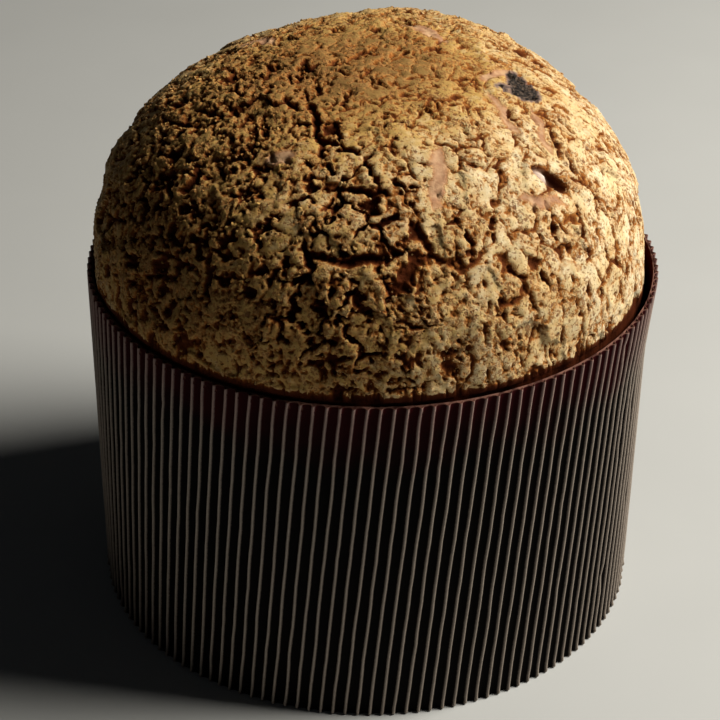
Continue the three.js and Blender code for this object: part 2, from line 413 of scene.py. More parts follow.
def plate_middles():
    """The middles of the crust's plates, and of the hidden skirt under them, as in the model."""
    i = np.arange(PLATE_COUNT)
    span = 1 - math.sin(LOWEST_PLATE)
    elevation = np.arcsin(1 - (i + 0.5) / PLATE_COUNT * span)
    middles = heading(i * math.pi * (3 - math.sqrt(5)), elevation)
    middles[:, 0] += PLATE_SCATTER * (2 * chance(i, 0) - 1)
    middles[:, 1] += PLATE_SCATTER * (2 * chance(i, 1) - 1)
    middles[:, 2] += PLATE_SCATTER * chance(i, 2)
    middles /= np.linalg.norm(middles, axis=1)[:, None]
    turn = np.arange(SKIRT_COUNT) / SKIRT_COUNT * 2 * math.pi
    return np.concatenate([middles, heading(turn, np.full(SKIRT_COUNT, SKIRT_ELEVATION))])


def plate_edges(points):
    """For each point of the sphere, the distance in mm to its plate's edge, and the plate's number."""
    directions = points / np.linalg.norm(points, axis=1)[:, None]
    middles = plate_middles()
    edge = np.empty(len(directions))
    plate = np.empty(len(directions), int)
    for start in range(0, len(directions), 8000):
        part = slice(start, start + 8000)
        near = directions[part] @ middles.T
        best = np.argpartition(-near, 1, axis=1)[:, :2]
        rank = np.take_along_axis(near, best, 1)
        swap = rank[:, 0] < rank[:, 1]
        best[swap] = best[swap][:, ::-1]
        rank[swap] = rank[swap][:, ::-1]
        apart = np.linalg.norm(middles[best[:, 0]] - middles[best[:, 1]], axis=1)
        edge[part] = (rank[:, 0] - rank[:, 1]) / apart * DOME_RADIUS
        plate[part] = best[:, 0]
    return edge, plate


def sink(field, depth, wall):
    """The depth of a gap that is open where its field is below 0: steep walls down to a floor."""
    return depth * (1 - np.exp(-np.clip(-field, 0, None) / wall))


def around(points, place):
    """Each point's distance east and north of a bearing and elevation, in mm along the sphere."""
    middle = facing(*place)
    east = np.array([-middle[1], middle[0], 0]) / math.hypot(middle[0], middle[1])
    north = np.cross(middle, east)
    near = points @ middle > 0
    return np.where(near, points @ east, 99), np.where(near, points @ north, 99)


def blister_forms(points):
    """The torn blister: the field of its slanting hole, and the height of the pale skin swelling in it."""
    east, north = around(points, BLISTER)
    along = east * math.cos(BLISTER_TILT) + north * math.sin(BLISTER_TILT)
    across = north * math.cos(BLISTER_TILT) - east * math.sin(BLISTER_TILT)
    hole = (np.hypot(along / BLISTER_LENGTH, across / BLISTER_WIDTH) - 1) * BLISTER_WIDTH
    far = (along - SKIN_PLACE[0]) ** 2 / SKIN_SPREAD[0] + (across - SKIN_PLACE[1]) ** 2 / SKIN_SPREAD[1]
    skin = np.exp(-far) * ease(-hole / SKIN_MARGIN)
    return hole, skin


def crust_relief(directions):
    """How far the crust is sunk at each direction, and what its finish needs to know."""
    points = directions * DOME_RADIUS
    drawn = points * SIDE_STRETCH
    crumble = patches(directions, CRUMBLE, CRUMBLE_PLAIN) + 0.14 * noise(points, 16, 35)
    crumble = np.clip(crumble, 0.03, 1)
    gape = patches(directions, FISSURES)
    wander = 1.9 * drift(points, 8, 10)
    tatter = 1.3 * drift(points, 3, 20) + 0.7 * drift(points, 1.5, 24)
    puffs = billow(points, PUFF_SIZE, 150)
    frays = 0.9 * layered_noise(points, FRAY_SIZE, 156, 2, 0.8)
    ragged = (0.5 + 1.3 * crumble) * frays

    # Cracks between the plates that the model has, which open and close along their length
    edge, plate = plate_edges(points + wander + tatter)
    closed = ease(0.5 - 1.5 * noise(points, 10, 33) - 0.1 * gape)
    plate_field = 1.4 * edge - 0.2 - 0.5 * crumble - 0.35 * gape + 1.6 * closed + 0.6 * puffs
    plate_field += 1.1 * noise(points, 5, 37) + ragged

    # Finer cracks: all ways where the glaze is crumbly, and mostly down the sides where it is whole
    small_edge, _, small_draw = cells(points + 0.6 * wander + 0.8 * tatter, SMALL_CELL, 100)
    small_closed = ease(0.5 - 1.6 * noise(points, 6, 34))
    small_field = 1.3 * small_edge - 0.05 - 0.6 * crumble + 1.4 * small_closed
    small_field = small_field + 0.5 * puffs + ragged
    long_edge, _, _ = cells(points * LONG_STRETCH + 0.6 * wander + 0.5 * tatter, LONG_CELL, 110)
    long_closed = ease(0.45 - 1.8 * noise(drawn, 9, 36))
    long_field = 1.3 * long_edge - 0.6 + 1.5 * long_closed + 0.5 * puffs + 0.5 * frays
    long_field = long_field + ease(2 * crumble - 0.6)

    # Open ground between islands of glaze, which are small where it is crumbly
    broad = layered_noise(drawn + 0.8 * wander, BROAD_ISLE, 170, 2, 0.7)
    tiny = layered_noise(points + 0.6 * tatter, TINY_ISLE, 180, 2, 0.7)
    share = ease(1.6 * crumble - 0.5)
    isles = broad * (1 - 0.5 * share) + tiny * (0.35 + 0.65 * share)
    isle_field = (isles + 0.7 - 0.7 * crumble) * 3 + 0.8 * puffs + frays

    # Short upright gashes low on the sides
    gashes = layered_noise(points * LONG_STRETCH + 0.4 * tatter, GASH_SIZE, 190, 2, 0.6)
    lowness = ease((34 - np.degrees(np.arcsin(directions[:, 2]))) / 16)
    gash_field = (gashes + 0.78 - 0.32 * lowness) * 2.2 + 0.5 * puffs

    furrow = line_field(points + 0.5 * wander + 0.8 * tatter, FURROWS)
    furrow = furrow - 0.2 + 0.6 * puffs + 0.6 * frays
    bare = line_field(points + 0.6 * wander + 0.6 * tatter, BARE_STRIPS)
    bare = bare - 0.5 + 0.8 * noise(points, 6, 46) + 0.4 * frays
    blister, skin = blister_forms(points)

    gaps = [
        sink(plate_field, PLAIN_CRACK + 0.8 * crumble + 0.8 * gape, 0.5),
        sink(small_field, 0.7 + 1.0 * crumble, 0.4),
        sink(long_field, LONG_CRACK, 0.4),
        sink(isle_field, 1.0 + 1.2 * crumble + 0.5 * gape, 0.55),
        sink(gash_field, GASH_DEPTH, 0.5),
        sink(furrow, FURROW_DEPTH, 0.7),
        sink(bare, BARE_DEPTH, 1.0),
        sink(blister, BLISTER_DEPTH, 0.6),
    ]
    gap = np.max(gaps, axis=0)
    fields = [plate_field, small_field, long_field, isle_field, gash_field, furrow, bare, blister]
    brim = np.min(fields, axis=0)
    brink = np.clip(brim, 0, None)
    top = np.exp(-gap / 0.6)

    # Round pores, dense in some places and few in others
    _, far, draw = cells(points, PORE_CELL, 130)
    dense = ease(0.5 + 1.6 * noise(points, 9, 135))
    pore_field = far - (0.4 + 0.7 * dense) * draw
    pits = layered_noise(points, PIT_SIZE, 160, 2, 0.8)
    pit_field = (pits + 0.6 - 0.2 * dense - 0.15 * crumble) * 1.1
    pore_field = np.minimum(pore_field, pit_field)
    pore = sink(pore_field, PORE_DEPTH, 0.3)
    char = ease(patches(directions, CHARRED) * (1 + 0.5 * noise(points, 2.2, 60)) * 1.4 - 0.2)

    # The tops: plates at uneven heights, rounded off to their edges, and puffed
    step = PLATE_STEP * chance(plate, 3) ** 2 * (0.5 + 0.5 * crumble) + 0.5 * crumble * small_draw
    tilt = (chance(plate, 5) - 0.5) * noise(points, 9, 30) * 1.5
    cushion = 0.12 * np.exp(-brink / 0.3) + 0.16 * crumble * np.exp(-brink / 1.4)
    smooth = np.clip(ease(0.4 - bare / 1.3) + np.clip(skin * 1.5, 0, 1), 0, 1)
    rough = 1 - 0.85 * smooth
    bumps = (0.05 + 0.3 * crumble) * puffs + (0.12 + 0.2 * crumble) * billow(points, 1.5, 196, 2)

    swell = SWELL + 0.7 * layered_noise(points, 17, 40) + 0.12 * noise(points, 5, 45)
    sunk = np.maximum(swell, 0.2) + gap - SKIN_RISE * skin
    sunk += (step + tilt + pore + cushion * top - bumps) * rough
    sunk += char * (0.4 - 1.8 * billow(points, 3, 61, 2))
    # The depth under 'low' sets the painted shade in the cracks
    facts = {
        "low": gap + pore * rough,
        "edge": np.clip(np.minimum(brim, 1.5 * pore_field + 1.2 * smooth), -2, 3),
        "crumble": crumble,
        "smooth": smooth,
        # The blister's pale skin, which carries a painted highlight
        "pale": np.clip(skin * 1.4, 0, 1),
        "char": char,
        "tint": (chance(plate, 7) + small_draw) / 2,
        "toast_and_shade": patches(directions, TOAST_AND_PAINTED_SHADE_PATCHES),
        "dense": dense,
    }
    return np.maximum(sunk, 0), facts


def new_mesh(name, points, face_groups, facts=(), smooth=True):
    """A mesh object from points in mm and faces, with one number for each point under each name.

    Each group of faces is an array of corners, and of the map's places for them or None.
    """
    mesh = bpy.data.meshes.new(name)
    mesh.vertices.add(len(points))
    mesh.vertices.foreach_set("co", (np.asarray(points) * MM).astype(np.float32).ravel())
    corners = np.concatenate([faces.ravel() for faces, _ in face_groups])
    sizes = np.concatenate([np.full(len(faces), faces.shape[1]) for faces, _ in face_groups])
    mesh.loops.add(len(corners))
    mesh.loops.foreach_set("vertex_index", corners.astype(np.int32))
    mesh.polygons.add(len(sizes))
    mesh.polygons.foreach_set("loop_start", (np.cumsum(sizes) - sizes).astype(np.int32))
    mesh.update(calc_edges=True)
    mesh.polygons.foreach_set("use_smooth", [smooth] * len(sizes))
    for key, values in dict(facts).items():
        layer = mesh.attributes.new(key, "FLOAT", "POINT")
        layer.data.foreach_set("value", np.asarray(values, np.float32))
    if all(places is not None for _, places in face_groups):
        spread = np.concatenate([places.reshape(-1, 2) for _, places in face_groups])
        mesh.uv_layers.new(name=MAP_NAME).data.foreach_set("uv", spread.astype(np.float32).ravel())
    mesh.validate()
    thing = bpy.data.objects.new(name, mesh)
    bpy.context.scene.collection.objects.link(thing)
    return thing


def numbers_of(mesh, key):
    """A mesh's numbers under a name, one for each point."""
    values = np.empty(len(mesh.vertices))
    mesh.attributes[key].data.foreach_get("value", values)
    return values


def vectors_of(mesh, key):
    """A mesh's point places in mm, or its point normals."""
    values = np.empty(3 * len(mesh.vertices))
    mesh.vertices.foreach_get(key, values)
    return values.reshape(-1, 3) / (MM if key == "co" else 1)


def ring_elevations():
    """Elevations of the crust's rings, evenly spaced along the dome, crown first."""
    fine = np.linspace(math.pi / 2, 0, 2000)
    side = heading(np.zeros(2000), fine)
    level = np.abs(side[:, 1]) / DOME_RADIUS
    radius = (level**DOME_SQUARENESS + (side[:, 2] / DOME_RISE) ** DOME_SQUARENESS) ** (-1 / DOME_SQUARENESS)
    path = side * radius[:, None]
    along = np.concatenate([[0], np.cumsum(np.linalg.norm(np.diff(path, axis=0), axis=1))])
    return np.interp(np.linspace(0, along[-1], RINGS + 1), along, fine)


def crust_faces():
    """The triangles between the rings of the crust; ring k has RING_SECTORS * k points."""
    start = np.concatenate([[0], 1 + RING_SECTORS * np.cumsum(np.arange(RINGS))])
    groups = []
    for k in range(1, RINGS + 1):
        sector = np.arange(RING_SECTORS)[:, None]
        j = np.arange(k)[None, :]
        inner_count = max(RING_SECTORS * (k - 1), 1)
        outer_count = RING_SECTORS * k
        outer = start[k] + sector * k + j
        outer_next = start[k] + (sector * k + j + 1) % outer_count
        inner = start[k - 1] + (sector * (k - 1) + j) % inner_count
        groups.append(np.stack([inner, outer, outer_next], -1).reshape(-1, 3))
        if k > 1:
            inner_next = start[k - 1] + (sector * (k - 1) + j + 1) % inner_count
            groups.append(np.stack([inner, outer_next, inner_next], -1)[:, :-1].reshape(-1, 3))
    return np.concatenate(groups), start[RINGS]


def circle(bearing, radius, height):
    """Points at bearings, with radii and heights that may differ from point to point."""
    return np.stack([radius * np.sin(bearing), -radius * np.cos(bearing), height * np.ones_like(bearing)], -1)


def strips(first, count, rows):
    """Four-cornered faces between rings of a count of points, each ring following the one before it."""
    j = np.arange(count)
    following = (j + 1) % count
    groups = []
    for row in range(rows - 1):
        low = first + row * count
        high = low + count
        groups.append(np.stack([low + j, low + following, high + following, high + j], -1))
    return np.concatenate(groups)


def make_loaf():
    """The loaf: fine crust on the dome, turned in over the rim, and a plain body inside the case."""
    elevations = ring_elevations()
    counts = [1] + [RING_SECTORS * k for k in range(1, RINGS + 1)]
    bearing = np.concatenate([np.arange(count) / count * 2 * math.pi for count in counts])
    elevation = np.concatenate([np.full(count, rise) for count, rise in zip(counts, elevations)])
    directions = heading(bearing, elevation)
    sunk, facts = crust_relief(directions)
    points = directions * (dome_radius(directions) - sunk)[:, None]
    points[:, 2] += DOME_CENTRE
    crust, rim_start = crust_faces()

    count = RING_SECTORS * RINGS
    rim = points[rim_start:]
    rim_bearing = bearing[rim_start:]
    rim_radius = np.hypot(rim[:, 0], rim[:, 1])
    levels = [points]
    for turn in TUCK_TURNS:
        radius = TUCK_RADIUS + (rim_radius - TUCK_RADIUS) * math.cos(turn)
        height = DOME_CENTRE + (TUCK_HEIGHT - DOME_CENTRE) * math.sin(turn)
        levels.append(circle(rim_bearing, radius, height))
    for height in (BODY_TOP, 50, FLOOR_PAPER + SLIP):
        inside = lining_radius(np.full(count, -FLARE_BEARING), height) - SLIP
        levels.append(circle(rim_bearing, inside, height))
    rows = len(levels)
    side = strips(rim_start, count, rows)
    side = side[:, ::-1]
    last = len(points) + (rows - 2) * count
    base = np.arange(last + count - 1, last - 1, -1)[None, :]
    below = (rows - 1) * count
    for key, values in facts.items():
        facts[key] = np.concatenate([values, np.zeros(below)])
    # Painted shade: the tucked edge and the body take the dark end of the crack colours
    facts["low"][len(points) :] = TUCK_LOW
    facts["edge"][len(points) :] = -1
    reach = np.concatenate([np.arange(RINGS + 1), RINGS + np.array(TUCK_REACH)])
    facts["reach"] = np.concatenate([np.full(n, r) for n, r in zip(counts + [count] * (rows - 1), reach)])
    groups = [(crust, None), (side, None), (base, None)]
    loaf = new_mesh("crust_and_loaf", np.concatenate(levels), groups, facts)
    thin_out(loaf, CRUST_FACES)
    map_loaf(loaf.data)
    return loaf


def thin_out(thing, faces):
    """Merges the flattest parts of a mesh until about this many triangles are left."""
    mesh = thing.data
    triangles = len(mesh.loops) - 2 * len(mesh.polygons)
    change = thing.modifiers.new("thin", "DECIMATE")
    change.ratio = faces / triangles
    graph = bpy.context.evaluated_depsgraph_get()
    changed = thing.evaluated_get(graph)
    thinned = bpy.data.meshes.new_from_object(changed, preserve_all_data_layers=True, depsgraph=graph)
    thing.modifiers.clear()
    name = mesh.name
    thing.data = thinned
    bpy.data.meshes.remove(mesh)
    thinned.name = name


def map_loaf(mesh):
    """The loaf's map: seen from above with the sides drawn outwards, and its base in a corner."""
    places = vectors_of(mesh, "co")
    bearing = np.arctan2(places[:, 0], -places[:, 1])
    reach = numbers_of(mesh, "reach") / (RINGS + TUCK_REACH[-1])
    spread = 0.5 + LOAF_MAP_RADIUS * np.stack([reach * np.sin(bearing), -reach * np.cos(bearing)], -1)
    corners = np.empty(len(mesh.loops), np.int32)
    mesh.loops.foreach_get("vertex_index", corners)
    spread = spread[corners]
    first = np.empty(len(mesh.polygons), np.int32)
    mesh.polygons.foreach_get("loop_start", first)
    highest = np.maximum.reduceat(places[corners, 2], first)
    on_base = np.repeat(highest < FLOOR_PAPER + SLIP + 0.01, np.diff(np.append(first, len(corners))))
    spread[on_base] = BASE_MAP_PLACE + BASE_MAP_RADIUS * places[corners[on_base], :2] / DOME_RADIUS
    mesh.uv_layers.new(name=MAP_NAME).data.foreach_set("uv", spread.astype(np.float32).ravel())


def icosahedron():
    """Twelve corners from the top down, twenty faces, and the places of their corners in a flat net."""
    level = 1 / math.sqrt(5)
    turn = np.arange(5) * 2 * math.pi / 5
    reach = math.sqrt(1 - level**2)
    upper = [(reach * math.cos(t), reach * math.sin(t), level) for t in turn]
    lower = [(reach * math.cos(t + math.pi / 5), reach * math.sin(t + math.pi / 5), -level) for t in turn]
    corners = np.array([(0, 0, 1)] + upper + lower + [(0, 0, -1)])
    faces = []
    net = []
    for i in range(5):
        a, b = 1 + i, 1 + (i + 1) % 5
        c, d = 6 + i, 6 + (i + 1) % 5
        faces += [(0, a, b), (a, c, b), (b, c, d), (11, d, c)]
        net += [
            [(i + 0.5, 3), (i, 2), (i + 1, 2)],
            [(i, 2), (i + 0.5, 1), (i + 1, 2)],
            [(i + 1, 2), (i + 0.5, 1), (i + 1.5, 1)],
            [(i + 1, 0), (i + 1.5, 1), (i + 0.5, 1)],
        ]
    return corners, np.array(faces), np.array(net, float) / (5.5, 3)


def make_granules(loaf):
    """Grains of glaze that crumbled off and baked on, thickest where the crust is crumbly."""
    mesh = loaf.data
    points = vectors_of(mesh, "co")
    normals = vectors_of(mesh, "normal")
    fact = {key: numbers_of(mesh, key) for key in ("low", "crumble", "smooth", "char", "edge", "toast_and_shade")}
    number = np.arange(len(points))

    # They keep to crumbly places over the rim, and mostly to the edges of the glaze
    want = np.clip(fact["crumble"] - 0.15, 0, 1) ** 1.4 * (1 - fact["smooth"])
    want *= np.exp(-np.abs(fact["edge"]) / 0.8) + 0.15
    want *= points[:, 2] > DOME_CENTRE + 2
    order = np.argsort(chance(number, 300) / np.maximum(want, 1e-9))[:GRANULE_COUNT]
    small, large = GRANULE_SIZES
    size = small + (large - small) * chance(order, 301) ** 3

    # Each is a lumpy, stretched ball, turned about and sunk a little into the crust
    corners, faces, net = icosahedron()
    sides = len(corners)
    lumpy = 0.6 + 0.75 * chance(order[:, None] * sides + np.arange(sides), 302)
    spin = chance(order, 303) * 2 * math.pi
    up = normals[order]
    side = np.cross(up, [0.3, 0.2, 1])
    side /= np.linalg.norm(side, axis=1)[:, None]
    east = side * np.cos(spin)[:, None] + np.cross(up, side) * np.sin(spin)[:, None]
    north = np.cross(up, east)
    shape = corners[None] * (lumpy * size[:, None])[..., None]
    stretch = [0.9 + 0.6 * chance(order, 305), 0.8 + 0 * size, 0.6 + 0.3 * chance(order, 306)]
    shape = shape * np.stack(stretch, -1)[:, None]
    places = points[order][:, None] - (0.1 * size[:, None] * up)[:, None]
    for axis, direction in enumerate((east, north, up)):
        places = places + shape[..., axis : axis + 1] * direction[:, None]

    count = len(order)
    number = np.arange(count)
    across = math.ceil(math.sqrt(count))
    tile = np.stack([number % across, number // across], -1)[:, None, None, :]
    spread = (tile + 0.05 + 0.9 * net[None]) / across
    shade = chance(order, 304)
    own = {
        # Each grain takes a quarter of the painted crack shade under it
        "low": 0.25 * fact["low"][order] + 0.25 * shade,
        "edge": 0.1 + 0.5 * shade,
        "crumble": fact["crumble"][order],
        "toast_and_shade": fact["toast_and_shade"][order],
        "smooth": 0 * shade,
        "pale": 0 * shade,
        "dense": 0 * shade,
        "char": fact["char"][order],
        "tint": shade,
    }
    own_faces = faces[None] + sides * number[:, None, None]
    groups = [(own_faces.reshape(-1, 3), spread.reshape(-1, 3, 2))]
    facts = {key: np.repeat(values, sides) for key, values in own.items()}
    return new_mesh("glaze_granules", places.reshape(-1, 3), groups, facts, smooth=False)


# The fine paper case


def flare(bearing, height):
    """How far the paper stands off its straight cup."""
    rise = np.clip((height - FLARE_FROM) / (CASE_HEIGHT - FLARE_FROM), 0, 1)
    away = np.abs(np.arctan2(np.sin(bearing - FLARE_BEARING), np.cos(bearing - FLARE_BEARING)))
    return FLARE * rise * np.exp(-((away / FLARE_REACH) ** 2))


def lining_radius(bearing, height):
    """The radius of the smooth inside of the case."""
    crest = FOOT_RADIUS + (RIM_RADIUS - FOOT_RADIUS) * height / CASE_HEIGHT
    return crest - FLUTE_DEPTH - LINING + flare(bearing, height)


def make_case():
    """The corrugated cup: narrow rounded flutes, open at the rim, with a smooth lining and a flat base."""
    steps = len(FLUTE_PLACES)
    count = FLUTE_COUNT * steps
    flute = np.repeat(np.arange(FLUTE_COUNT), steps)
    across = np.tile(FLUTE_PLACES, FLUTE_COUNT)
    swell = 1 / (1 + np.abs(across / RIDGE_WIDTH) ** RIDGE_SQUARENESS)
    around_case = (flute + across) / FLUTE_COUNT

    def bearing_at(height):
        """Where each upright line of the paper stands at a height."""
        lean = FLUTE_LEAN * (1 - height / CASE_HEIGHT)
        track = np.stack([flute * 7.3, np.full(count, height / 14), np.zeros(count)], -1)
        wander = RIDGE_WANDER * (noise(track, 1, 200) + 0.5 * noise(track * 3, 1, 201))
        return around_case * 2 * math.pi + wander / FLUTE_COUNT * 2 * math.pi + lean

    def wall(height):
        """The fluted face at a height: bearings, radii and the radii of the sheet's foot."""
        bearing = bearing_at(height)
        track = np.stack([flute * 5.1, np.full(count, height / 9), np.ones(count)], -1)
        crushed = np.clip(noise(track, 1, 210) - 0.5, 0, 1) * 0.9
        depth = FLUTE_DEPTH * (1 - 0.1 * (1 + noise(track, 1.7, 211)) / 2 - crushed)
        foot = FOOT_BULGE * math.exp(-(((height - FOOT_BULGE_HEIGHT) / FOOT_BULGE_HEIGHT) ** 2))
        rounded = FOOT_ROUNDING * max(0, 1 - height / FOOT_ROUNDING_HEIGHT) ** 2
        behind = (bearing - SEAM_BEARING) % (2 * math.pi)
        seam = SEAM_DEPTH * np.clip(1 - behind / SEAM_WIDTH, 0, 1)
        base = lining_radius(bearing, height) + LINING
        radius = base + (depth + foot - rounded) * swell - seam * swell
        return bearing, np.maximum(radius, base - LINING + 0.05), base

    rings = []
    # The crest share later sets the paper's painted shade in the valleys and painted highlight on the ridges
    facts = {"inner": [], "crest": [], "edge": []}

    def add(bearing, radius, height, crest=0.0, inner=0.0, edge=0.0):
        """One more ring of points, with what the paper's finish needs to know."""
        rings.append(circle(bearing, radius, height))
        for key, value in (("inner", inner), ("crest", crest), ("edge", edge)):
            facts[key].append(value * np.ones(count))

    for height in [*LOW_RINGS, *MIDDLE_RINGS, *HIGH_RINGS]:
        bearing, radius, _ = wall(height)
        add(bearing, radius, height, swell)
    track = np.stack([(flute + across) * 0.9, np.zeros(count), np.zeros(count)], -1)
    ragged = RAGGED * (1 + noise(track, 1, 220))
    bearing, radius, base = wall(CASE_HEIGHT)
    inside = np.maximum(radius - SHEET, base - LINING / 2 + 0.02)
    top = CASE_HEIGHT - ragged
    add(bearing, radius - 0.06, top, swell, edge=1)
    add(bearing, inside, top, edge=1)
    add(bearing, inside, CASE_HEIGHT - POCKET)
    add(bearing, base - LINING / 2, CASE_HEIGHT - POCKET)
    add(bearing, base - LINING / 2, top, inner=1, edge=1)
    add(bearing, base - LINING, top, inner=1, edge=1)
    for height in LINING_RINGS:
        bearing = bearing_at(height)
        add(bearing, lining_radius(bearing, height), height, inner=1)

    points = np.concatenate(rings)
    rows = len(rings)
    steps_up = [np.linalg.norm(b - a, axis=1).mean() for a, b in zip(rings, rings[1:])]
    run = np.concatenate([[0], np.cumsum(steps_up)])
    upright = WALL_MAP_HEIGHT * run / run[-1]
    along = np.append(around_case, 1 + around_case[0]) - around_case[0]
    sides = strips(0, count, rows)
    j = np.arange(count)
    spread = []
    for row in range(rows - 1):
        corners = [(j, row), (j + 1, row), (j + 1, row + 1), (j, row + 1)]
        places = [np.stack([along[place], np.full(count, upright[r])], -1) for place, r in corners]
        spread.append(np.stack(places, 1))
    last = (rows - 1) * count
    inner_floor = np.arange(last, last + count)[None, :]
    base = np.arange(count - 1, -1, -1)[None, :]
    discs = []
    for faces, middle in zip((inner_floor, base), DISC_MAP_PLACES):
        discs.append((faces, np.array(middle) + DISC_MAP_RADIUS * points[faces][..., :2] / FOOT_RADIUS))
    groups = [(sides, np.concatenate(spread))] + discs
    facts = {key: np.concatenate(values) for key, values in facts.items()}
    return new_mesh("corrugated_case", points, groups, facts)


# Materials


class Finish:
    """A procedural material, built by short calls that each return an output."""

    def __init__(self, name):
        self.material = bpy.data.materials.new(name)
        self.material.use_nodes = True
        self.tree = self.material.node_tree
        self.surface = self.tree.nodes["Principled BSDF"]
        self.place = self.tree.nodes.new("ShaderNodeTexCoord").outputs["Object"]

    def plug(self, socket, value):
        if isinstance(value, bpy.types.NodeSocket):
            self.tree.links.new(value, socket)
        else:
            socket.default_value = value

    def fact(self, name):
        node = self.tree.nodes.new("ShaderNodeAttribute")
        node.attribute_name = name
        return node.outputs["Fac"]

    def noise(self, size, detail=2.0, roughness=0.5):
        node = self.tree.nodes.new("ShaderNodeTexNoise")
        self.plug(node.inputs["Vector"], self.place)
        node.inputs["Scale"].default_value = 1 / (size * MM)
        node.inputs["Detail"].default_value = detail
        node.inputs["Roughness"].default_value = roughness
        return node.outputs["Fac"]

    def bent_place(self, size, amount):
        """The place in space, shifted about by noise of a size."""
        node = self.tree.nodes.new("ShaderNodeTexNoise")
        self.plug(node.inputs["Vector"], self.place)
        node.inputs["Scale"].default_value = 1 / (size * MM)
        shift = self.tree.nodes.new("ShaderNodeVectorMath")
        shift.operation = "MULTIPLY_ADD"
        self.plug(shift.inputs[0], node.outputs["Color"])
        shift.inputs[1].default_value = [amount * MM] * 3
        self.plug(shift.inputs[2], self.place)
        return shift.outputs["Vector"]

    def pores(self, size, least, most, more=0.0):
        """Roundish spots scattered a size apart, from 0 outside to 1 inside, each of its own width."""
        node = self.tree.nodes.new("ShaderNodeTexVoronoi")
        self.plug(node.inputs["Vector"], self.bent_place(0.9 * size, 0.9 * size))
        node.inputs["Scale"].default_value = 1 / (size * MM)
        split = self.tree.nodes.new("ShaderNodeSeparateColor")
        self.plug(split.inputs["Color"], node.outputs["Color"])
        width = self.maths("ADD", self.span(split.outputs["Red"], 0, 1, least, most, "LINEAR"), more)
        return self.span(self.maths("SUBTRACT", width, node.outputs["Distance"]), -0.06, 0.1)

    def maths(self, operation, first, second=0.0, clamp=False):
        node = self.tree.nodes.new("ShaderNodeMath")
        node.operation = operation
        node.use_clamp = clamp
        self.plug(node.inputs[0], first)
        self.plug(node.inputs[1], second)
        return node.outputs[0]

    def span(self, value, low, high, to_low=0.0, to_high=1.0, kind="SMOOTHSTEP"):
        node = self.tree.nodes.new("ShaderNodeMapRange")
        node.interpolation_type = kind
        self.plug(node.inputs["Value"], value)
        node.inputs["From Min"].default_value = low
        node.inputs["From Max"].default_value = high
        node.inputs["To Min"].default_value = to_low
        node.inputs["To Max"].default_value = to_high
        return node.outputs["Result"]

    def blend(self, share, first, second, kind="MIX"):
        node = self.tree.nodes.new("ShaderNodeMix")
        node.data_type = "RGBA"
        node.blend_type = kind
        self.plug(node.inputs["Factor"], share)
        for socket, value in ((node.inputs[6], first), (node.inputs[7], second)):
            self.plug(socket, value if isinstance(value, bpy.types.NodeSocket) else colour(value))
        return node.outputs[2]

    def ramp(self, value, stops):
        node = self.tree.nodes.new("ShaderNodeValToRGB")
        line = node.color_ramp.elements
        while len(line) < len(stops):
            line.new(1)
        for element, (position, shade) in zip(line, stops):
            element.position = position
            element.color = colour(shade)
        self.plug(node.inputs["Fac"], value)
        return node.outputs["Color"]

    def bump(self, height, distance, strength=1.0, under=None):
        node = self.tree.nodes.new("ShaderNodeBump")
        node.inputs["Distance"].default_value = distance * MM
        node.inputs["Strength"].default_value = strength
        self.plug(node.inputs["Height"], height)
        if under is not None:
            self.plug(node.inputs["Normal"], under)
        return node.outputs["Normal"]


def colour(shade):
    """A linear colour with alpha from screen values out of 255."""
    parts = [v / 255 for v in shade]
    return [v / 12.92 if v <= 0.04045 else ((v + 0.055) / 1.055) ** 2.4 for v in parts] + [1.0]


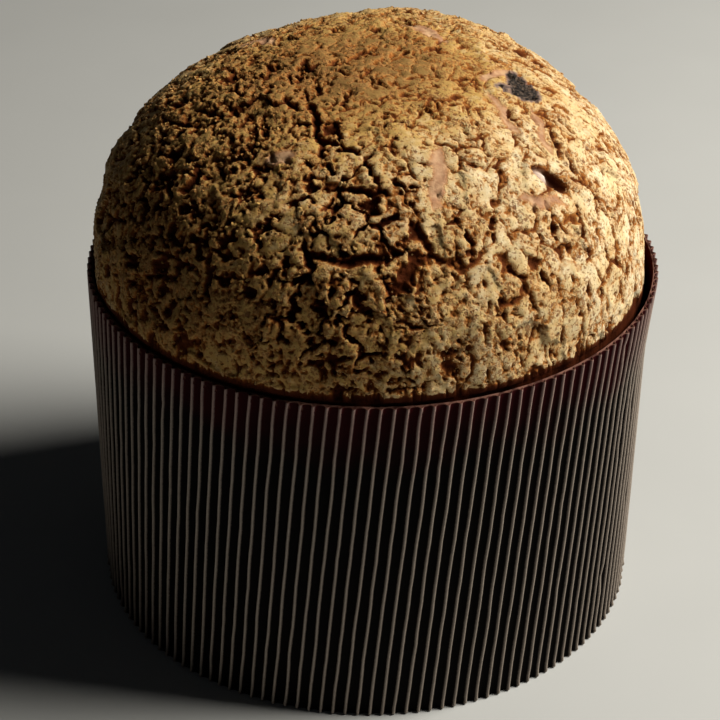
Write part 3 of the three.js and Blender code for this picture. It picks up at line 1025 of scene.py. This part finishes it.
def crust_finish():
    """Matt cream glaze with tan edges and brown pores with painted shade in them, and red-brown dough in the
    cracks, darkened to near black with depth as painted shade.
    """
    f = Finish("glazed_crust")
    low = f.fact("low")
    crumble = f.fact("crumble")
    smooth = f.fact("smooth")
    grain = f.noise(0.7, 3, 0.65)
    middling = f.noise(2.4, 3, 0.6)
    broad = f.noise(12, 3)
    dense = f.span(f.fact("dense"), 0, 1, -0.2, 0.08, "LINEAR")
    pores = f.pores(1.6, -0.1, 0.38, dense)
    spongy = f.maths("MULTIPLY", f.maths("ADD", f.fact("dense"), crumble), 0.05)
    specks = f.span(f.maths("SUBTRACT", f.noise(0.95, 2, 0.6), spongy), 0.42, 0.36)

    # The ragged edge of the glaze, finer than the mesh
    edge = f.maths("ADD", f.fact("edge"), f.maths("MULTIPLY", f.maths("SUBTRACT", grain, 0.5), 1.5))
    edge = f.maths("ADD", edge, f.maths("MULTIPLY", f.maths("SUBTRACT", middling, 0.5), 1.2))
    glaze = f.span(edge, -0.1, 0.1)
    brown = f.span(edge, 0.1, 0.6, 0.55, 0.0)

    cream = f.blend(f.span(broad, 0.36, 0.64), *CREAMS)
    cream = f.blend(f.maths("MULTIPLY", f.fact("tint"), 0.4), cream, TAN)
    cream = f.blend(f.maths("MULTIPLY", f.span(middling, 0.4, 0.68), 0.4), cream, HONEY)
    # Toast browning, and painted shade low on the front left
    toast_and_shade = f.maths("MULTIPLY", f.fact("toast_and_shade"), f.span(middling, 0.3, 0.7, 0.7, 1.1), clamp=True)
    top = f.blend(toast_and_shade, cream, TOAST_AND_SHADE_BROWN)
    top = f.blend(f.span(f.fact("toast_and_shade"), 0.9, 1.7), top, DARK_TOAST_AND_SHADE_BROWN)
    top = f.blend(brown, top, GLAZE_RIM)
    # Pores in dough brown with painted shade for their depth
    top = f.blend(f.maths("MULTIPLY", pores, 0.8), top, PORE_BROWN_AND_SHADE)
    top = f.blend(f.maths("MULTIPLY", specks, 0.7), top, SPECK_BROWN)

    # Down in the cracks, where painted shade deepens with depth, on the bare skin and on the burnt spot
    depth = f.maths("ADD", f.maths("MULTIPLY", low, 1 / DEEPEST), f.maths("MULTIPLY", grain, 0.1), clamp=True)
    skin = f.blend(glaze, f.ramp(depth, CRACK_COLOURS_WITH_PAINTED_SHADE), top)
    bare = f.blend(f.span(f.noise(3, 3), 0.35, 0.65), *BARE_SKIN)
    # Pale skin in the blister, with a painted highlight on it
    bare = f.blend(f.fact("pale"), bare, PALE_SKIN_AND_HIGHLIGHT)
    skin = f.blend(f.maths("MULTIPLY", smooth, 0.85), skin, bare)
    burnt = f.blend(f.span(f.noise(0.9, 3), 0.42, 0.66), *BURNT)
    skin = f.blend(f.span(f.fact("char"), 0.05, 0.5), skin, ASH)
    skin = f.blend(f.span(f.fact("char"), 0.4, 0.75), skin, burnt)
    f.plug(f.surface.inputs["Base Color"], skin)
    f.plug(f.surface.inputs["Roughness"], f.span(smooth, 0, 1, 0.8, 0.5))
    f.plug(f.surface.inputs["Specular IOR Level"], f.span(glaze, 0, 1, 0.04, 0.25))

    height = f.maths("ADD", f.maths("MULTIPLY", grain, 0.7), f.maths("MULTIPLY", glaze, 0.7))
    height = f.maths("SUBTRACT", height, f.maths("MULTIPLY", pores, 0.8))
    height = f.maths("SUBTRACT", height, f.maths("MULTIPLY", specks, 0.7))
    height = f.maths("MULTIPLY", height, f.maths("SUBTRACT", 1, f.maths("MULTIPLY", smooth, 0.8)))
    f.plug(f.surface.inputs["Normal"], f.bump(height, 0.4, 0.68))
    return f.material


def paper_finish():
    """Dark brown baking paper with painted shade in the valleys and a grey painted highlight along the
    ridges, stained dark red by the glaze near the rim.
    """
    f = Finish("baking_paper")
    split = f.tree.nodes.new("ShaderNodeSeparateXYZ")
    f.plug(split.inputs[0], f.place)
    fibre = f.noise(0.8, 4, 0.7)
    broad = f.noise(14, 3)
    # Painted shade in the valleys and painted highlight on the ridges, from the crest share
    shade = f.maths("ADD", f.fact("crest"), f.maths("MULTIPLY", f.maths("SUBTRACT", fibre, 0.5), 0.4))
    paper = f.ramp(shade, PAPER_SHADE_TO_RIDGE_HIGHLIGHT)
    level = f.maths("ADD", split.outputs["Z"], f.maths("MULTIPLY", f.maths("SUBTRACT", broad, 0.5), 0.03))
    stain = f.span(level, *STAIN_HEIGHTS)
    paper = f.blend(f.maths("MULTIPLY", stain, 0.9), paper, f.ramp(shade, STAINED_SHADE_TO_RIDGE_HIGHLIGHT))
    paper = f.blend(f.fact("inner"), paper, f.blend(f.noise(4, 3), *PAPER_INSIDE))
    glazed = f.blend(f.span(f.noise(3, 2), 0.35, 0.6), *PAPER_EDGE)
    paper = f.blend(f.fact("edge"), paper, glazed)
    f.plug(f.surface.inputs["Base Color"], paper)
    f.plug(f.surface.inputs["Roughness"], f.span(fibre, 0.3, 0.7, 0.55, 0.7))
    f.plug(f.surface.inputs["Specular IOR Level"], f.span(f.fact("crest"), 0.3, 0.9, 0.03, 0.3))
    f.plug(f.surface.inputs["Normal"], f.bump(fibre, 0.08, 1.0))
    return f.material


def floor_finish():
    """A plain pale studio floor."""
    f = Finish("pale_floor")
    f.plug(f.surface.inputs["Base Color"], f.blend(f.noise(60, 2), *FLOOR_GREYS))
    f.surface.inputs["Roughness"].default_value = 0.7
    return f.material


# Staging


def add_floor():
    corners = circle(np.radians([-45, 45, 135, 225]), np.full(4, FLOOR_SIZE), np.zeros(4))
    floor = new_mesh("studio_floor", corners, [(np.array([[0, 1, 2, 3]]), None)])
    floor.data.materials.append(floor_finish())


def add_light(name, bearing, elevation, distance, size, power, tint):
    """A round lamp that looks at the middle of the object from a bearing and elevation in degrees."""
    middle = Vector((0, 0, LIT_HEIGHT)) * MM
    lamp = bpy.data.lights.new(name, "AREA")
    lamp.shape = "DISK"
    lamp.size = size * MM
    lamp.energy = power
    lamp.color = tint
    thing = bpy.data.objects.new(name, lamp)
    thing.location = middle + Vector(facing(bearing, elevation)) * distance * MM
    thing.rotation_euler = (middle - thing.location).to_track_quat("-Z", "Y").to_euler()
    bpy.context.scene.collection.objects.link(thing)


def add_lights():
    add_light("key", 94, 43, distance=1150, size=620, power=23.0, tint=(1.0, 0.96, 0.87))
    add_light("fill", -30, 40, distance=1150, size=900, power=0.04, tint=(0.9, 0.95, 1.0))
    world = bpy.data.worlds.new("studio")
    world.use_nodes = True
    background = world.node_tree.nodes["Background"]
    background.inputs["Color"].default_value = WORLD_TINT
    background.inputs["Strength"].default_value = WORLD_STRENGTH
    bpy.context.scene.world = world
    bpy.context.scene.view_settings.view_transform = "Standard"


def add_camera():
    lens = bpy.data.cameras.new("camera")
    lens.lens = LENS
    lens.sensor_width = SENSOR
    lens.clip_start = 0.01
    camera = bpy.data.objects.new("camera", lens)
    place = Vector(CAMERA_PLACE) * MM
    look = (Vector(CAMERA_AIM) * MM - place).to_track_quat("-Z", "Y").to_matrix()
    camera.matrix_world = Matrix.Translation(place) @ (look @ Matrix.Rotation(CAMERA_ROLL, 3, "Z")).to_4x4()
    bpy.context.scene.collection.objects.link(camera)
    bpy.context.scene.camera = camera


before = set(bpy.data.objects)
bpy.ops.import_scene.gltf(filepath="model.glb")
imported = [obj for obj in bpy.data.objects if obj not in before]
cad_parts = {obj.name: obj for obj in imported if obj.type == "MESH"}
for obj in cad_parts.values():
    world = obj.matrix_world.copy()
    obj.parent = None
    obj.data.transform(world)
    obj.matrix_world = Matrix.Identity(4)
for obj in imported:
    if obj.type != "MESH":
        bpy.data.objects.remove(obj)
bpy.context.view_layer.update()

add_camera()
add_floor()
add_lights()

loaf = make_loaf()
loaf.data.materials.append(crust_finish())
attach(loaf, "root")
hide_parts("loaf")

granules = make_granules(loaf)
granules.data.materials.append(loaf.data.materials[0])
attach(granules, "root")

case = make_case()
case.data.materials.append(paper_finish())
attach(case, "root")
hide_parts("paper_case")
